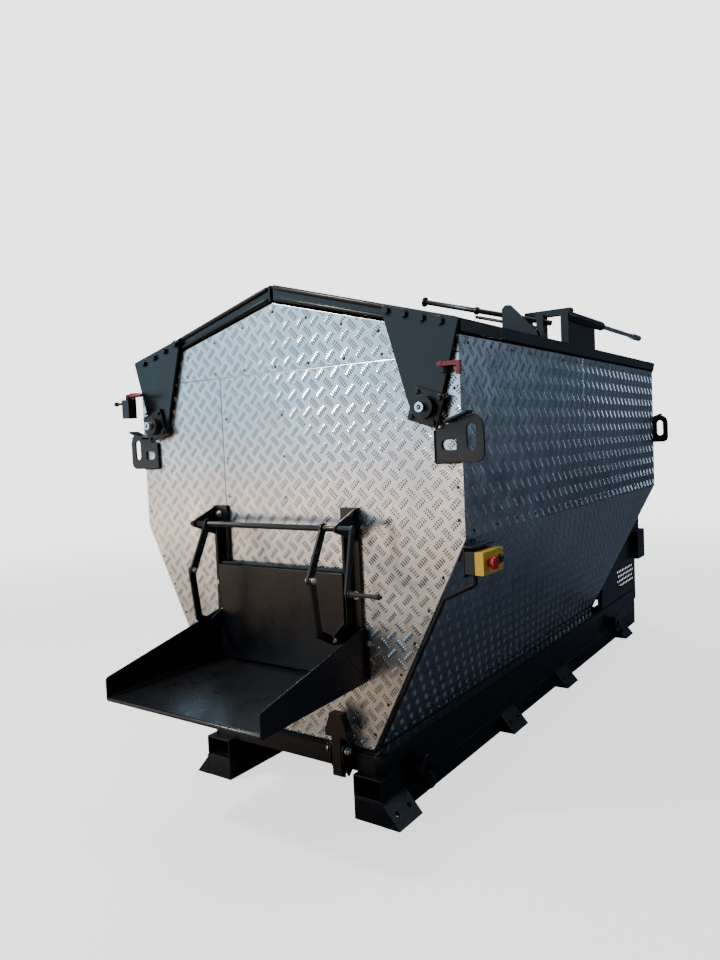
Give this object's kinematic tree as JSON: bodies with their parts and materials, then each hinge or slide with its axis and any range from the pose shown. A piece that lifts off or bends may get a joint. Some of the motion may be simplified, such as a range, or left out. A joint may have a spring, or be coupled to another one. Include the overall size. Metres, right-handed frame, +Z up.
{
  "type": "asphalt hot box",
  "caption": "Skid-mounted insulated asphalt hopper with tread-plate cladding, two outward-opening lids, crank-operated discharge gate, chute, auger and rear power compartment.",
  "frame": {"origin": "on the ground under the middle of the machine", "axes": "X across the machine to the control box side, Y from the discharge end to the power end, Z up"},
  "size_m": [1.621, 3.68, 1.9137],
  "materials": {
    "black_paint": "satin",
    "tread_plate": "five-bar tread, bright",
    "liner_steel": "mill finish",
    "wool": "mineral wool",
    "bright_steel": "ground shaft",
    "zinc": "zinc plated",
    "box_black": "fine grain",
    "box_yellow": "moulded",
    "button_red": "moulded",
    "button_black": "moulded",
    "lever_red": "satin",
    "conduit_black": "ribbed",
    "seal_rubber": "matte",
    "motor_paint": "semi gloss",
    "pump_alloy": "cast",
    "tank_plastic": "moulded",
    "panel_foil": "foil-faced insulation board"
  },
  "bodies": {
    "base": {"base_frame": "black_paint", "fork_tubes": "black_paint", "skid_runners": "black_paint", "skid_feet": "black_paint", "lashing_lugs": "black_paint", "front_cladding": "tread_plate", "right_cladding": "tread_plate", "left_cladding": "tread_plate", "rear_cladding": "tread_plate", "body_frame": "black_paint", "hopper_walls": "liner_steel", "hopper_ends": "liner_steel", "insulation": "wool", "burner_tube": "liner_steel", "lifting_lugs": "black_paint", "pivot_shafts": "bright_steel", "gate_rails": "black_paint", "chute_floor": "black_paint", "chute_sides": "black_paint", "crank_bearings": "black_paint", "control_bracket": "black_paint", "control_box": "box_black", "control_cover": "box_yellow", "control_conduit": "conduit_black", "clamp_bracket": "black_paint", "rear_housing": "black_paint", "guard_plates": "black_paint", "starter_cabinet": "black_paint", "fuel_tank": "tank_plastic", "hydraulic_unit": "pump_alloy", "auger_drive": "motor_paint"},
    "left_lid": {"left_lid_shell": "black_paint", "left_lid_lining": "panel_foil", "left_lid_arms": "black_paint", "left_lid_bearings": "black_paint", "left_lid_seal": "seal_rubber", "left_switch": "black_paint"},
    "right_lid": {"right_lid_shell": "black_paint", "right_lid_lining": "panel_foil", "right_lid_arms": "black_paint", "right_lid_bearings": "black_paint", "right_lid_seal": "seal_rubber", "right_switch": "black_paint", "latch_bracket": "black_paint"},
    "gate": {"gate_plate": "black_paint"},
    "crank": {"crank": "black_paint"},
    "grip": {"crank_grip": "box_black"},
    "links": {"gate_links": "black_paint"},
    "auger": {"auger": "liner_steel"},
    "stop": {"stop_button": "button_red"},
    "start": {"start_button": "button_black"},
    "left_lever": {"left_switch_lever": "lever_red"},
    "right_lever": {"right_switch_lever": "lever_red"},
    "hook": {"clamp_hook": "black_paint"},
    "door": {"rear_door": "black_paint"},
    "rings_front": {"lashing_rings_front": "zinc"},
    "rings_rear": {"lashing_rings_rear": "zinc"},
    "latch_bar": {"latch_bar": "black_paint"},
    "pull": {"latch_pull": "bright_steel"}
  },
  "joints": [
    {"name": "left_lid_hinge", "type": "hinge", "parent": "base", "child": "left_lid", "pos_m": [-0.62, 0, 1.367], "axis": [0, -1, 0], "range_deg": [0, 60]},
    {"name": "right_lid_hinge", "type": "hinge", "parent": "base", "child": "right_lid", "pos_m": [0.62, 0, 1.367], "axis": [0, 1, 0], "range_deg": [0, 60]},
    {"name": "gate_slide", "type": "slide", "parent": "base", "child": "gate", "axis": [0, 0, 1], "range_m": [0, 0.23]},
    {"name": "crank_turn", "type": "hinge", "parent": "base", "child": "crank", "pos_m": [0, -1.422, 0.995], "axis": [-1, 0, 0], "range_deg": [0, 60]},
    {"name": "grip_spin", "type": "hinge", "parent": "crank", "child": "grip", "pos_m": [0.45, -1.465, 0.797], "axis": [1, 0, 0], "continuous": true},
    {"name": "link_turn", "type": "hinge", "parent": "crank", "child": "links", "pos_m": [0.275, -1.501, 0.838], "axis": [1, 0, 0], "range_deg": [0, 91]},
    {"name": "auger_spin", "type": "hinge", "parent": "base", "child": "auger", "pos_m": [0, 0, 0.6], "axis": [0, 1, 0], "continuous": true},
    {"name": "stop_push", "type": "slide", "parent": "base", "child": "stop", "axis": [-1, 0, 0], "range_m": [0, 0.005], "stiffness_N_per_m": 1500},
    {"name": "start_push", "type": "slide", "parent": "base", "child": "start", "axis": [-1, 0, 0], "range_m": [0, 0.004], "stiffness_N_per_m": 1200},
    {"name": "left_lever_swing", "type": "hinge", "parent": "left_lid", "child": "left_lever", "pos_m": [-0.718, -1.382, 1.49], "axis": [0, 0, -1], "range_deg": [0, 15], "stiffness_Nm_per_rad": 2},
    {"name": "right_lever_swing", "type": "hinge", "parent": "right_lid", "child": "right_lever", "pos_m": [0.682, -1.342, 1.49], "axis": [0, 0, -1], "range_deg": [0, 15], "stiffness_Nm_per_rad": 2},
    {"name": "hook_swing", "type": "hinge", "parent": "base", "child": "hook", "pos_m": [0.246, -1.362, 0.236], "axis": [1, 0, 0], "range_deg": [0, 14]},
    {"name": "door_hinge", "type": "hinge", "parent": "base", "child": "door", "pos_m": [-0.348, 1.827, 0.8], "axis": [0, 0, 1], "range_deg": [0, 110]},
    {"name": "front_rings_swing", "type": "hinge", "parent": "base", "child": "rings_front", "pos_m": [0.446, -1.12, 0.118], "axis": [1, 0, 0], "range_deg": [-40, 40]},
    {"name": "rear_rings_swing", "type": "hinge", "parent": "base", "child": "rings_rear", "pos_m": [0.446, 1.16, 0.118], "axis": [1, 0, 0], "range_deg": [-40, 40]},
    {"name": "pull_slide", "type": "slide", "parent": "right_lid", "child": "pull", "axis": [0, -1, 0], "range_m": [0, 0.3]},
    {"name": "latch_slide", "type": "slide", "parent": "right_lid", "child": "latch_bar", "axis": [0.962, 0, -0.2732], "range_m": [0, 0.05]}
  ],
  "couplings": [
    {"joint": "crank_turn", "follows": "gate_slide", "rad_per_m": 4.553},
    {"joint": "link_turn", "follows": "gate_slide", "rad_per_m": 6.905},
    {"joint": "latch_slide", "follows": "pull_slide", "ratio": 0.1666}
  ]
}
